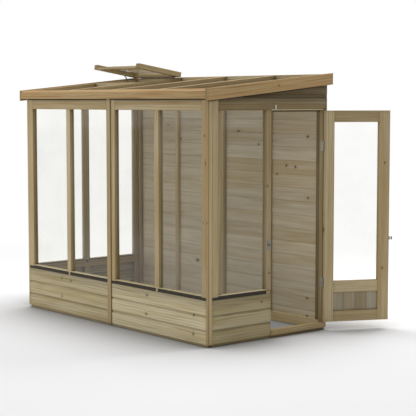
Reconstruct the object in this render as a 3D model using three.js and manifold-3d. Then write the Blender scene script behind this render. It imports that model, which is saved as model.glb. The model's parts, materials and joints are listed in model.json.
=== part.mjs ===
// Lean-to greenhouse: timber wall panels on low boarded sides, a sloping glazed
// roof with one opening vent, and a half-glazed door in the right-hand end.
// Millimetres, Z up. X runs along the long front wall, Y towards the house wall.
// The origin lies under the middle of the rear bottom rail.
import * as THREE from 'three';
import { mergeVertices } from 'three/addons/utils/BufferGeometryUtils.js';
import Module from 'manifold-3d';

const wasm = await Module();
wasm.setup();

// General
const clearance = 0.3;
const overrun = 6;
const roundSides = 20;

// Timber sections
const board = { thick: 12, pitch: 106.3, lip: 5, cove: 19, slant: 5 };
const stud = { depth: 28, wide: 33, sole: 75, head: 45, leftShift: 20 };
const frameDepth = board.thick + stud.depth;
const post = { wide: 20, deep: frameDepth };

// Walls
const wall = { length: 2406 };
const base = { clear: 20, boards: 3, rail: 45, stop: 38, slot: 21, slotDepth: 24, lip: 13, foot: 20 };
const topRail = { tall: 94 };
const joint = { wide: 46, proud: 9, drop: 9 };
const frontStile = { cornerLeft: 70, jointLeft: 38, jointRight: 74, cornerRight: 50 };
const mullion = { wide: 55 };
const endStile = { wide: 56, left: 21, bead: 36, beadBack: 10, rear: 84 };
const midPost = { face: 51, foot: 36 };
const windowBay = { wide: 425 };
const doorway = { wide: 533, stopWide: 12, stopThick: 10 };
const hingePost = { wide: 40 };

// Glazing
const pane = { thick: 4, back: 22, edge: 8 };

// Roof
const roof = { slope: 0.1, eaves: 1850, overhang: 45, sideHang: 43, backHang: 20 };
const bar = { wide: 45, tall: 58, drop: 8, pitch: 600 };
const roofPane = { drop: 30, edge: 8 };
const sideFascia = { thick: 20, tall: 87 };
const frontFascia = { thick: 25, tall: 71, bevel: 17 };
const backBoard = { drop: 5, tall: 82 };

// Roof vent
const vent = {
  length: 458, tall: 42, rail: 53, low: 18, crossRail: 50, overlap: 22, sideGap: 2, seat: 3,
  open: THREE.MathUtils.degToRad(14.6), hingeIn: 21,
};
const surround = { front: 40, rear: 40, cheek: 12 };
const ventHinge = { leaf: 2, wide: 18, long: 500, knuckle: 4, end: 110 };
const stay = {
  fromHinge: 115, below: 27, reach: 92, wide: 9, thick: 4, pin: 3, head: 5, headThick: 2,
  plate: 3, plateWide: 36, plateTall: 24, standOff: 0.6, rise: THREE.MathUtils.degToRad(48),
};

// Door
const door = {
  thick: 36, bottom: 70, topGap: 4, hingeGap: 4, latchGap: 5,
  hingeStile: 74, freeStile: 89, topRail: 88, middleRail: 88, bottomRail: 83, panelTall: 144,
  paneBack: 16, panelBack: 12, panelThick: 12, groove: 8,
  open: THREE.MathUtils.degToRad(154),
};
const threshold = { tall: 40, proud: 4 };
const butt = {
  tall: 76, leaf: 1.8, wide: 30, knuckle: 5, pin: 2.2, proud: 5, low: 337, high: 1383, share: 1 / 3,
};
const hasp = {
  height: 702, plateWide: 34, plateTall: 40, sheet: 2, fromEdge: 14, knuckle: 3, pin: 1.2, strapTall: 22,
  past: 41, slotWide: 9, slotTall: 15, lift: 1.2,
};
const staple = { wide: 38, tall: 76, sheet: 2, rod: 4, span: 13, reach: 17 };
const button = { fromPost: 39, up: 9, long: 32, wide: 12, thick: 3, boss: 7, bossThick: 1.2, head: 5, headThick: 2 };

// Places that follow from the sizes
const right = wall.length / 2;
const left = -right;
const windowFrom = post.deep + endStile.wide + endStile.bead;
const postFrom = windowFrom + windowBay.wide;
const doorFrom = postFrom + midPost.face;
const doorTo = doorFrom + doorway.wide;
const wallDepth = doorTo + hingePost.wide;
const back = board.thick + stud.depth / 2;
const front = back - wallDepth;
const boardsTop = base.clear + base.boards * board.pitch;
const slotTop = boardsTop + base.slot;
const sillTop = slotTop + base.lip;
const roofFront = front - roof.overhang;
const roofBack = back + roof.backHang;
const roofTop = (y) => roof.eaves + roof.slope * (y - roofFront);
const plate = roofTop(front) - bar.drop - bar.tall;
const head = plate - topRail.tall;
const backTop = roofTop(back - frameDepth) - bar.drop - bar.tall;
const roofAngle = Math.atan(roof.slope);
const fasciaInner = right + roof.sideHang - sideFascia.thick;
const thresholdTop = base.clear + threshold.tall;

// Finishes
const finish = (color, roughness, metalness = 0) =>
  new THREE.MeshStandardMaterial({ color, roughness, metalness });
const timber = finish('#a9966b', 0.8);
const boarding = finish('#b0a077', 0.8);
const fasciaWood = finish('#a4875a', 0.8);
const paleTimber = finish('#b3a57c', 0.8);
const glass = new THREE.MeshStandardMaterial({
  color: '#e9eef0', roughness: 0.08, metalness: 0, transparent: true, opacity: 0.25,
});
const zinc = finish('#a7a9ab', 0.4, 1);
const darkZinc = finish('#5f6265', 0.45, 1);

const greenhouse = new THREE.Group();

// Solids

// Corners are set exactly, so boxes that share a face share its numbers
function boxGeometry(x, y, z) {
  const geometry = new THREE.BoxGeometry(1, 1, 1);
  const place = geometry.attributes.position;
  for (let i = 0; i < place.count; i += 1) {
    const far = [place.getX(i), place.getY(i), place.getZ(i)].map((at) => (at > 0 ? 1 : 0));
    place.setXYZ(i, x[far[0]], y[far[1]], z[far[2]]);
  }
  return geometry;
}

function asSolid(source) {
  const bare = source.clone();
  bare.deleteAttribute('normal');
  bare.deleteAttribute('uv');
  const merged = mergeVertices(bare);
  return new wasm.Manifold(new wasm.Mesh({
    numProp: 3,
    vertProperties: new Float32Array(merged.attributes.position.array),
    triVerts: new Uint32Array(merged.index.array),
  }));
}

function asGeometry(solid) {
  const mesh = solid.getMesh();
  const geometry = new THREE.BufferGeometry();
  geometry.setAttribute('position', new THREE.BufferAttribute(mesh.vertProperties, 3));
  geometry.setIndex(new THREE.BufferAttribute(mesh.triVerts, 1));
  const flat = geometry.toNonIndexed();
  flat.computeVertexNormals();
  return flat;
}

function join(geometries, cuts = []) {
  const whole = wasm.Manifold.union(geometries.map(asSolid));
  return asGeometry(cuts.length ? whole.subtract(wasm.Manifold.union(cuts.map(asSolid))) : whole);
}

function add(name, geometry, material, parent = greenhouse) {
  const piece = new THREE.Mesh(geometry, material);
  piece.name = name;
  parent.add(piece);
  return piece;
}

const grown = (range, by) => [range[0] - by, range[1] + by];

// An outline in two axes, pushed along the third
function extruded(points, length) {
  const shape = new THREE.Shape(points.map(([a, b]) => new THREE.Vector2(a, b)));
  return new THREE.ExtrudeGeometry(shape, { depth: length, bevelEnabled: false });
}

// An outline in Y and Z, pushed along X
function profileAlongX(points, x) {
  const geometry = extruded(points, x[1] - x[0]);
  geometry.rotateY(Math.PI / 2);
  geometry.rotateX(Math.PI / 2);
  return geometry.translate(x[0], 0, 0);
}

// A rod along X, round in Y and Z
function rodAlongX(x, y, z, radius) {
  const geometry = new THREE.CylinderGeometry(radius, radius, x[1] - x[0], roundSides);
  return geometry.rotateZ(Math.PI / 2).translate((x[0] + x[1]) / 2, y, z);
}

// A rod along Z, round in X and Y
function rodAlongZ(x, y, z, radius) {
  const geometry = new THREE.CylinderGeometry(radius, radius, z[1] - z[0], roundSides);
  return geometry.rotateX(Math.PI / 2).translate(x, y, (z[0] + z[1]) / 2);
}

// Walls: u runs along a wall, d goes inwards from its outer face

const sides = {
  front: (u, d) => [u, [front + d[0], front + d[1]]],
  back: (u, d) => [u, [back - d[1], back - d[0]]],
  right: (u, d) => [[right - d[1], right - d[0]], [front + u[0], front + u[1]]],
  left: (u, d) => [[left + d[0], left + d[1]], [front + u[0], front + u[1]]],
};

function wallBox(side, u, d, z) {
  const [x, y] = sides[side](u, d);
  return boxGeometry(x, y, z);
}

// A post stands full depth above the sill and behind the boards below it
function upright(side, u) {
  return [
    wallBox(side, u, [board.thick, frameDepth], [0, slotTop]),
    wallBox(side, u, [0, frameDepth], [slotTop, plate]),
  ];
}

function foot(side, u, wide) {
  const middle = (u[0] + u[1]) / 2;
  return wallBox(side, [middle - wide / 2, middle + wide / 2], [0, frameDepth], [boardsTop, slotTop]);
}

// The rails of one glazed stretch, with the dark slot under the sill
function lowRails(side, u) {
  return [
    wallBox(side, u, [board.thick, frameDepth], [0, base.rail]),
    wallBox(side, u, [board.thick, frameDepth], [boardsTop - base.stop, boardsTop]),
    wallBox(side, u, [base.slotDepth, frameDepth], [boardsTop - base.stop, slotTop]),
    wallBox(side, u, [0, frameDepth], [slotTop, sillTop]),
  ];
}

function slotCut(side, u) {
  return wallBox(side, u, [-overrun, base.slotDepth], [boardsTop, slotTop]);
}

const paneDepth = [pane.back, pane.back + pane.thick];
const paneHeight = [sillTop - pane.edge, head + pane.edge];

function paneBox(side, u, loose) {
  return wallBox(side, grown(u, pane.edge + loose), grown(paneDepth, loose), grown(paneHeight, loose));
}

function glazedFrame(name, side, u, posts, feet, glassRuns, slots, extra = []) {
  const timbers = [
    ...posts.flatMap((run) => upright(side, run)),
    wallBox(side, u, [0, frameDepth], [head, plate]),
    ...extra,
  ];
  const cuts = [
    ...slots.map((run) => slotCut(side, run)),
    ...glassRuns.map((run) => paneBox(side, run, clearance)),
  ];
  const feetSolids = feet.map(([run, wide]) => foot(side, run, wide));
  const body = join([join(timbers, cuts), ...feetSolids]);
  add(name, body, timber);
}

// Shiplap boards: each one's scooped top edge tucks under the next
function boardOutline(from, to) {
  const points = [[board.thick, from]];
  for (let z = from; z < to - board.cove; z += board.pitch) {
    const top = Math.min(z + board.pitch, to);
    if (top < to) {
      points.push([0, z], [0, top - board.cove], [board.lip, top - board.cove + board.slant]);
      points.push([board.lip, top]);
    } else {
      points.push([0, z], [0, top]);
    }
  }
  points.push([board.thick, to]);
  return points;
}

function boards(name, side, u, z) {
  const outline = boardOutline(z[0], z[1]);
  const flat = { front: 1, back: -1, left: 1, right: -1 }[side];
  const outer = { front, back, left, right }[side];
  const along = side === 'front' || side === 'back';
  const points = outline.map(([d, height]) => [outer + flat * d, height]);
  let geometry;
  if (along) {
    geometry = profileAlongX(points, u);
  } else {
    geometry = extruded(points, u[1] - u[0]).rotateX(Math.PI / 2).translate(0, front + u[1], 0);
  }
  add(name, geometry, boarding);
}

// Front wall: two panels, with a cover strip on their joint

function frontWall() {
  const panels = [
    { name: 'front_left', u: [left + post.wide, 0], first: frontStile.cornerLeft, last: frontStile.jointLeft },
    { name: 'front_right', u: [0, right - post.wide], first: frontStile.jointRight, last: frontStile.cornerRight },
  ];
  for (const { name, u, first, last } of panels) {
    const clear = [u[0] + first, u[1] - last];
    const middle = (clear[0] + clear[1]) / 2;
    const centre = [middle - mullion.wide / 2, middle + mullion.wide / 2];
    const glassRuns = [[clear[0], centre[0]], [centre[1], clear[1]]];
    const posts = [[u[0], clear[0]], centre, [clear[1], u[1]]];
    glazedFrame(`${name}_frame`, 'front', u, posts, [[centre, base.foot]], glassRuns, [u], lowRails('front', u));
    boards(`${name}_boards`, 'front', u, [base.clear, boardsTop]);
    add(`${name}_pane_outer`, paneBox('front', glassRuns[0], 0), glass);
    add(`${name}_pane_inner`, paneBox('front', glassRuns[1], 0), glass);
  }
  const cover = [-joint.wide / 2, joint.wide / 2];
  add('front_joint_cover', wallBox('front', cover, [-joint.proud, 0], [base.clear, plate - joint.drop]), paleTimber);
  for (const [name, x] of [['left', left], ['right', right - post.wide]]) {
    const corner = wallBox('front', [x, x + post.wide], [0, post.deep], [base.clear, plate]);
    add(`${name}_corner_post`, corner, paleTimber);
  }
}

// Ends: the left one is glazed right across, the right one holds the door

function leftEnd() {
  const u = [post.deep, wallDepth];
  const rear = [wallDepth - endStile.rear, wallDepth];
  const stile = [u[0], u[0] + endStile.left];
  const middle = (stile[1] + rear[0]) / 2;
  const centre = [middle - mullion.wide / 2, middle + mullion.wide / 2];
  const runs = [[stile[1], centre[0]], [centre[1], rear[0]]];
  const feet = [[centre, base.foot]];
  glazedFrame('left_end_frame', 'left', u, [stile, centre, rear], feet, runs, [u], lowRails('left', u));
  boards('left_end_boards', 'left', u, [base.clear, boardsTop]);
  add('left_end_pane_front', paneBox('left', runs[0], 0), glass);
  add('left_end_pane_rear', paneBox('left', runs[1], 0), glass);
}

function rightEnd() {
  const u = [post.deep, wallDepth];
  const low = [post.deep, doorFrom];
  const stile = [u[0], u[0] + endStile.wide];
  const middlePost = [postFrom, doorFrom];
  const run = [windowFrom, postFrom];
  const stop = [door.thick + clearance, frameDepth + doorway.stopThick];
  const stopTall = [thresholdTop, head];
  const extra = [
    ...lowRails('right', low),
    wallBox('right', [stile[1], windowFrom], [endStile.beadBack, frameDepth], [slotTop, plate]),
    wallBox('right', [doorTo, wallDepth], [0, frameDepth], [thresholdTop, plate]),
    wallBox('right', [doorTo, wallDepth], [board.thick, frameDepth], [0, thresholdTop]),
    wallBox('right', [doorFrom - doorway.stopWide, doorFrom + doorway.stopWide], stop, stopTall),
    wallBox('right', [doorFrom, doorTo], stop, [head - doorway.stopWide, head + doorway.stopWide]),
  ];
  const feet = [[middlePost, midPost.foot]];
  const slots = [[low[0] - overrun, low[1]]];
  glazedFrame('right_end_frame', 'right', u, [stile, middlePost], feet, [run], slots, extra);
  boards('right_end_boards', 'right', low, [base.clear, boardsTop]);
  add('right_end_pane', paneBox('right', run, 0), glass);
  const sillHeight = [base.clear, thresholdTop];
  const sill = join([
    wallBox('right', [doorFrom, doorTo], [board.thick, frameDepth], [0, base.clear]),
    wallBox('right', [doorFrom, doorTo], [-threshold.proud, frameDepth], sillHeight),
    wallBox('right', [doorTo, wallDepth], [-threshold.proud, board.thick], sillHeight),
  ]);
  add('door_threshold', sill, timber);
}

// Back wall: two boarded panels on inside studs

function backWall() {
  const depth = [board.thick, frameDepth];
  const panels = [
    { name: 'back_left', u: [left + frameDepth, 0], shift: stud.leftShift },
    { name: 'back_right', u: [0, right - frameDepth], shift: 0 },
  ];
  for (const { name, u, shift } of panels) {
    const middle = (u[0] + u[1]) / 2 - shift;
    const uprights = [
      [u[0], u[0] + stud.wide],
      [middle - stud.wide / 2, middle + stud.wide / 2],
      [u[1] - stud.wide, u[1]],
    ];
    const timbers = [
      ...uprights.map((run) => wallBox('back', run, depth, [0, backTop])),
      wallBox('back', u, depth, [0, stud.sole]),
      wallBox('back', u, depth, [backTop - stud.head, backTop]),
    ];
    add(`${name}_frame`, join(timbers), timber);
    boards(`${name}_boards`, 'back', u, [base.clear, backTop]);
  }
}

// The wedge between an end frame and the edge bar above it
function gableBoards() {
  const under = (y) => roofTop(y) - bar.drop - bar.tall;
  const from = front + post.deep;
  const outline = [[from, plate], [back, plate], [back, under(back)], [from, under(from)]];
  add('left_gable_board', profileAlongX(outline, [left, left + board.thick]), timber);
  add('right_gable_board', profileAlongX(outline, [right - board.thick, right]), timber);
}

// Roof: every piece is drawn level, then leaned to the roof's slope

function lean(geometry) {
  const place = geometry.attributes.position;
  for (let i = 0; i < place.count; i += 1) {
    place.setZ(i, place.getZ(i) + roofTop(place.getY(i)));
  }
  geometry.computeVertexNormals();
  return geometry;
}

const barHeight = [-bar.drop - bar.tall, -bar.drop];
const roofPaneHeight = [-roofPane.drop - pane.thick, -roofPane.drop];
const roofRun = [roofFront + frontFascia.thick, back];
const barMiddles = [-bar.pitch, 0, bar.pitch];
const edgeBarInner = fasciaInner - bar.wide;
const ventFront = back - vent.hingeIn - vent.length;
const surroundFront = ventFront - vent.seat;

// The glass runs between neighbouring bars, from the left edge to the right
const bays = [
  { name: 'left', x: [-edgeBarInner, barMiddles[0] - bar.wide / 2], y: [roofRun[0], surroundFront] },
  { name: 'mid_left', x: [barMiddles[0] + bar.wide / 2, barMiddles[1] - bar.wide / 2], y: roofRun },
  { name: 'mid_right', x: [barMiddles[1] + bar.wide / 2, barMiddles[2] - bar.wide / 2], y: roofRun },
  { name: 'right', x: [barMiddles[2] + bar.wide / 2, edgeBarInner], y: roofRun },
];

function roofPaneBox(bay, loose) {
  return boxGeometry(grown(bay.x, roofPane.edge + loose), grown(bay.y, loose), grown(roofPaneHeight, loose));
}

function roofBars() {
  const runs = [
    ['roof_edge_bar_left', [-fasciaInner, -edgeBarInner]],
    ...['left', 'middle', 'right'].map((name, i) =>
      [`roof_bar_${name}`, [barMiddles[i] - bar.wide / 2, barMiddles[i] + bar.wide / 2]]),
    ['roof_edge_bar_right', [edgeBarInner, fasciaInner]],
  ];
  const grooves = bays.map((bay) => roofPaneBox(bay, clearance));
  for (const [name, x] of runs) {
    add(name, lean(join([boxGeometry(x, roofRun, barHeight)], grooves)), timber);
  }
}

function roofPanes() {
  for (const bay of bays) {
    const shorter = { x: bay.x, y: grown(bay.y, -clearance) };
    add(`roof_pane_${bay.name}`, lean(roofPaneBox(shorter, 0)), glass);
  }
}

function fascias() {
  const whole = [roofFront, roofBack];
  const tall = [-sideFascia.tall, 0];
  const outer = right + roof.sideHang;
  add('roof_left_fascia', lean(boxGeometry([-outer, -fasciaInner], whole, tall)), fasciaWood);
  add('roof_right_fascia', lean(boxGeometry([fasciaInner, outer], whole, tall)), fasciaWood);
  const top = roof.eaves;
  const inner = roofFront + frontFascia.thick;
  const outline = [
    [roofFront, top - frontFascia.tall], [inner, top - frontFascia.tall], [inner, top],
    [roofFront + frontFascia.bevel, top], [roofFront, top - frontFascia.bevel],
  ];
  add('roof_front_fascia', profileAlongX(outline, [-fasciaInner, fasciaInner]), fasciaWood);
  const height = roofTop(back) - backBoard.drop;
  const closing = boxGeometry([-fasciaInner, fasciaInner], [back, roofBack], [height - backBoard.tall, height]);
  add('roof_back_board', closing, paleTimber);
}

// A lining round the vent's opening, between the left edge bar and the next bar
function ventSurround() {
  const [x, far] = [bays[0].x, back];
  const outer = boxGeometry(x, [surroundFront, far], barHeight);
  const inner = boxGeometry(grown(x, -surround.cheek), [surroundFront + surround.front, far - surround.rear],
    grown(barHeight, overrun));
  add('vent_surround', lean(join([outer], [inner])), timber);
}

// Roof vent: drawn closed and level, hinge axis at its rear edge, then tilted

const ventAxis = {
  y: back - vent.hingeIn,
  z: roofTop(back - vent.hingeIn) - bar.drop + ventHinge.knuckle,
};
const ventX = [-fasciaInner + vent.sideGap, barMiddles[0] + bar.wide / 2 + vent.overlap];
const ventBottom = ventHinge.leaf / 2;

function ventLid(parent) {
  const whole = [-vent.length, -ventHinge.knuckle];
  const tall = [ventBottom, ventBottom + vent.tall];
  const low = [ventBottom, ventBottom + vent.low];
  const rails = [
    boxGeometry([ventX[0], ventX[0] + vent.rail], whole, tall),
    boxGeometry([ventX[1] - vent.rail, ventX[1]], whole, tall),
    boxGeometry(ventX, [whole[0], whole[0] + vent.crossRail], low),
    boxGeometry(ventX, [whole[1] - vent.crossRail, whole[1]], low),
  ];
  const glassX = grown(ventX, pane.edge - vent.rail);
  const glassY = [whole[0], whole[1]];
  const glassZ = [low[1] + clearance, low[1] + clearance + pane.thick];
  const groove = boxGeometry(grown(glassX, clearance), grown(glassY, overrun), grown(glassZ, clearance));
  add('vent_frame', join(rails, [groove]), timber, parent);
  add('vent_pane', boxGeometry(glassX, glassY, glassZ), glass, parent);
}

function ventHingeLeaves(parent) {
  const middle = (ventX[0] + ventX[1]) / 2;
  const x = [middle - ventHinge.long / 2, middle + ventHinge.long / 2];
  const inner = [x[0] + ventHinge.end, x[1] - ventHinge.end];
  const half = ventHinge.leaf / 2;
  const bore = ventHinge.knuckle / 2;
  const flap = boxGeometry(inner, [-ventHinge.wide, 0], [-half, half - clearance]);
  const barrel = rodAlongX(inner, 0, 0, ventHinge.knuckle - clearance);
  const hole = rodAlongX(grown(inner, overrun), 0, 0, bore + clearance);
  add('vent_hinge_moving_leaf', join([flap, barrel], [hole]), zinc, parent);
  const { y, z } = ventAxis;
  const ends = [[x[0], inner[0] - clearance], [inner[1] + clearance, x[1]]];
  const seat = ventHinge.knuckle;
  const strip = join([lean(boxGeometry(x, [y + seat + half, back], [-bar.drop, -bar.drop + ventHinge.leaf]))]);
  const tongues = ends.map((run) =>
    lean(boxGeometry(run, [y, back], [-bar.drop, -bar.drop + ventHinge.leaf])));
  const barrels = ends.map((run) => rodAlongX(run, y, z, ventHinge.knuckle - clearance));
  const pin = rodAlongX(x, y, z, bore);
  add('vent_hinge_fixed_leaf', join([strip, ...tongues, ...barrels, pin]), zinc);
}

// Stay: a strap on a bracket inside the surround, its upper end beside the vent's rail

const cheekFace = bays[0].x[0] + surround.cheek;
const stayAxis = {
  y: ventAxis.y - stay.fromHinge,
  z: roofTop(ventAxis.y - stay.fromHinge) - stay.below,
};

function ventStay() {
  const { y, z } = stayAxis;
  const strap = [cheekFace + stay.plate + stay.standOff, cheekFace + stay.plate + stay.standOff + stay.thick];
  const halfWide = stay.plateWide / 2;
  const plateX = [cheekFace, cheekFace + stay.plate];
  const bracket = [
    boxGeometry(plateX, [y - halfWide, y + halfWide], [z - stay.plateTall / 2, z + stay.plateTall / 2]),
    rodAlongX([cheekFace + stay.plate / 2, strap[1] + stay.standOff + stay.headThick], y, z, stay.pin),
    rodAlongX([strap[1] + stay.standOff, strap[1] + stay.standOff + stay.headThick], y, z, stay.head),
  ];
  add('vent_stay_bracket', join(bracket), zinc);
  const turned = new THREE.Group();
  turned.position.set(0, y, z);
  turned.rotation.x = -stay.rise;
  greenhouse.add(turned);
  const half = stay.wide / 2;
  const arm = [
    boxGeometry(strap, [-stay.reach, 0], [-half, half]),
    rodAlongX(strap, 0, 0, half),
    rodAlongX(strap, -stay.reach, 0, half),
  ];
  const hole = rodAlongX(grown(strap, overrun), 0, 0, stay.pin + clearance);
  add('vent_stay', join(arm, [hole]), zinc, turned);
}

function roofVent() {
  const tilted = new THREE.Group();
  tilted.position.set(0, ventAxis.y, ventAxis.z);
  tilted.rotation.x = roofAngle - vent.open;
  greenhouse.add(tilted);
  ventLid(tilted);
  ventHingeLeaves(tilted);
  ventStay();
}

// Door: drawn shut with its hinge pin at the group's origin, then swung open

const pin = { x: right + butt.proud, y: front + doorTo - door.hingeGap / 2 };
const leafWide = doorway.wide - door.hingeGap - door.latchGap;
const leafTop = head - door.topGap;
const outerFace = -butt.proud;

// d runs from the hinge edge to the free edge, t inwards from the outer face
function leafBox(d, t, z) {
  const edge = -door.hingeGap / 2;
  return boxGeometry([outerFace - t[1], outerFace - t[0]], [edge - d[1], edge - d[0]], z);
}

const railHeights = {
  bottom: [door.bottom, door.bottom + door.bottomRail],
  middle: [
    door.bottom + door.bottomRail + door.panelTall,
    door.bottom + door.bottomRail + door.panelTall + door.middleRail,
  ],
  top: [leafTop - door.topRail, leafTop],
};
const insideStiles = [door.hingeStile, leafWide - door.freeStile];
const leafDepth = [0, door.thick];
const doorPane = {
  d: grown(insideStiles, door.groove),
  t: [door.paneBack, door.paneBack + pane.thick],
  z: grown([railHeights.middle[1], railHeights.top[0]], door.groove),
};
const doorPanel = {
  d: grown(insideStiles, door.groove),
  t: [door.panelBack, door.panelBack + door.panelThick],
  z: grown([railHeights.bottom[1], railHeights.middle[0]], door.groove),
};
const looseBox = (part) =>
  leafBox(grown(part.d, clearance), grown(part.t, clearance), grown(part.z, clearance));

function doorTimbers(parent) {
  const grooves = [looseBox(doorPane), looseBox(doorPanel)];
  const whole = [door.bottom, leafTop];
  const hingeSide = leafBox([0, door.hingeStile], leafDepth, whole);
  const freeSide = leafBox([leafWide - door.freeStile, leafWide], leafDepth, whole);
  add('door_hinge_stile', join([hingeSide], grooves), timber, parent);
  add('door_free_stile', join([freeSide], grooves), timber, parent);
  for (const [name, z] of Object.entries(railHeights)) {
    const rail = leafBox(grown(insideStiles, -clearance), leafDepth, z);
    add(`door_${name}_rail`, join([rail], grooves), timber, parent);
  }
  add('door_pane', leafBox(doorPane.d, doorPane.t, doorPane.z), glass, parent);
  add('door_panel', leafBox(doorPanel.d, doorPanel.t, doorPanel.z), timber, parent);
}

// Butt hinges: the jamb leaf carries the pin and the outer knuckles
function buttHinge(name, low, parent) {
  const z = [low, low + butt.tall];
  const third = butt.tall * butt.share;
  const inner = [low + third, low + butt.tall - third];
  const half = door.hingeGap / 2;
  const reach = [-butt.wide, 0];
  const ends = [[z[0], inner[0] - clearance], [inner[1] + clearance, z[1]]];
  const around = rodAlongZ(0, 0, grown(inner, clearance), butt.knuckle + clearance);
  const jamb = join([
    boxGeometry(reach, [half - butt.leaf, half], z),
    ...ends.map((run) => rodAlongZ(0, 0, run, butt.knuckle)),
  ], [around, boxGeometry([outerFace, butt.knuckle], [half, butt.knuckle + half], z)]);
  const pinRod = rodAlongZ(0, 0, z, butt.pin);
  const fixed = join([jamb, pinRod]);
  add(`${name}_hinge_jamb_leaf`, fixed.translate(pin.x, pin.y, 0), zinc);
  const bore = rodAlongZ(0, 0, grown(z, overrun), butt.pin + clearance);
  const outerKnuckles = ends.map((run) => rodAlongZ(0, 0, grown(run, clearance), butt.knuckle + clearance));
  const leaf = join([
    boxGeometry(reach, [clearance - half, clearance - half + butt.leaf - clearance], z),
    rodAlongZ(0, 0, inner, butt.knuckle),
  ], [bore, ...outerKnuckles]);
  add(`${name}_hinge_door_leaf`, leaf, zinc, parent);
}

// Hasp on the door's outer face, its slotted strap reaching past the free edge
const haspEdge = -door.hingeGap / 2 - leafWide;
const haspPin = { x: outerFace + hasp.knuckle + clearance, y: haspEdge + hasp.fromEdge };
const strapX = [staple.sheet + hasp.lift + outerFace, staple.sheet + hasp.lift + outerFace + hasp.sheet];

function haspPieces(parent) {
  const middle = hasp.height;
  const plateZ = [middle - hasp.plateTall / 2, middle + hasp.plateTall / 2];
  const strapZ = [middle - hasp.strapTall / 2, middle + hasp.strapTall / 2];
  const sheet = [outerFace + clearance, outerFace + clearance + hasp.sheet];
  const { x, y } = haspPin;
  const nearPin = y + hasp.knuckle + clearance;
  const knuckles = [[plateZ[0], strapZ[0] - clearance], [strapZ[1] + clearance, plateZ[1]]];
  const plateParts = [
    boxGeometry(sheet, [nearPin, y + hasp.plateWide], plateZ),
    ...knuckles.map((run) => boxGeometry(sheet, [y, nearPin + clearance], run)),
    ...knuckles.map((run) => rodAlongZ(x, y, run, hasp.knuckle)),
    rodAlongZ(x, y, plateZ, hasp.pin),
  ];
  add('hasp_plate', join(plateParts), zinc, parent);
  const bore = rodAlongZ(x, y, grown(strapZ, overrun), hasp.pin + clearance);
  const tip = haspEdge - hasp.past;
  const loop = stapleMiddle - pin.y;
  const slot = boxGeometry(grown(strapX, overrun), [loop - hasp.slotWide / 2, loop + hasp.slotWide / 2],
    [middle - hasp.slotTall / 2, middle + hasp.slotTall / 2]);
  const strapParts = [
    boxGeometry(strapX, [tip, y], strapZ),
    rodAlongZ(x, y, strapZ, hasp.knuckle),
  ];
  add('hasp_strap', join(strapParts, [bore, slot]), darkZinc, parent);
}

// The staple's plate stands on the middle post, its loop goes through the strap's slot
const stapleMiddle = front + doorFrom - staple.wide / 2 - door.latchGap / 2;

function hingesAndCatches(swung) {
  buttHinge('lower', butt.low, swung);
  buttHinge('upper', butt.high, swung);
  haspPieces(swung);
  const half = { y: staple.wide / 2, z: staple.tall / 2 };
  const rodX = [right, right + staple.reach];
  const rod = staple.rod / 2;
  const leg = (z) => boxGeometry(rodX, [stapleMiddle - rod, stapleMiddle + rod], [z - rod, z + rod]);
  const reachBack = [right + staple.reach - staple.rod, right + staple.reach];
  const loopSpan = staple.span / 2;
  const parts = [
    boxGeometry([right, right + staple.sheet], [stapleMiddle - half.y, stapleMiddle + half.y],
      [hasp.height - half.z, hasp.height + half.z]),
    leg(hasp.height - loopSpan + rod), leg(hasp.height + loopSpan - rod),
    boxGeometry(reachBack, [stapleMiddle - rod, stapleMiddle + rod],
      [hasp.height - loopSpan, hasp.height + loopSpan]),
  ];
  add('hasp_staple', join(parts), darkZinc);
}

// A turn button on the rail over the door, upright while the door is free
function turnButton() {
  const y = front + doorFrom + button.fromPost;
  const z = head + button.up;
  const bossX = [right + clearance, right + clearance + button.bossThick];
  const armX = [bossX[1], bossX[1] + button.thick];
  const half = button.wide / 2;
  const parts = [
    rodAlongX([bossX[0], armX[1]], y, z, button.boss),
    boxGeometry(armX, [y - half, y + half], [z, z + button.long - half]),
    rodAlongX(armX, y, z + button.long - half, half),
    rodAlongX([armX[0], armX[1] + button.headThick], y, z, button.head),
  ];
  add('turn_button', join(parts), zinc);
}

function doorAndFurniture() {
  const swung = new THREE.Group();
  swung.position.set(pin.x, pin.y, 0);
  swung.rotation.z = door.open;
  greenhouse.add(swung);
  doorTimbers(swung);
  hingesAndCatches(swung);
  turnButton();
}

frontWall();
leftEnd();
rightEnd();
backWall();
gableBoards();
roofBars();
roofPanes();
fascias();
ventSurround();
roofVent();
doorAndFurniture();

export default greenhouse;
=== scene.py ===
import json
import math
import random

import bmesh
import bpy
from mathutils import Matrix, Vector


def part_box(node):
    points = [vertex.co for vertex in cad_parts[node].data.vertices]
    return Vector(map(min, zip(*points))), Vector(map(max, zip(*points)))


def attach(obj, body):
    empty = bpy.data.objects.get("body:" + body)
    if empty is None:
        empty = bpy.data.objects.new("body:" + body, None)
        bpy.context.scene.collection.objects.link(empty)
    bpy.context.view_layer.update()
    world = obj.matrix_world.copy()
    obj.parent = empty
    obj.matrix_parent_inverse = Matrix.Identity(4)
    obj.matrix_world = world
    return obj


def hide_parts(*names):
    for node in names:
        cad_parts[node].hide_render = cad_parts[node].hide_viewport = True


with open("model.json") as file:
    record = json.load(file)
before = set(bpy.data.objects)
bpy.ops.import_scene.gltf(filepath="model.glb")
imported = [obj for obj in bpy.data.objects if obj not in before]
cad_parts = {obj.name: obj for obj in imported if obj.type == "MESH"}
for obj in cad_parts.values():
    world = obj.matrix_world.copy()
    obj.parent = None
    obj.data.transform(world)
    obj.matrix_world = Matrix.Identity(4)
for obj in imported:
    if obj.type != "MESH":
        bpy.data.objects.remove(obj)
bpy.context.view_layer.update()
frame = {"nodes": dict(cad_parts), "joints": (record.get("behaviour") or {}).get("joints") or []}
nodes = frame["nodes"]
joints = {joint["name"]: joint for joint in frame["joints"]}
print("frame loaded:", len(nodes), "nodes")


# Shader nodes

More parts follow.
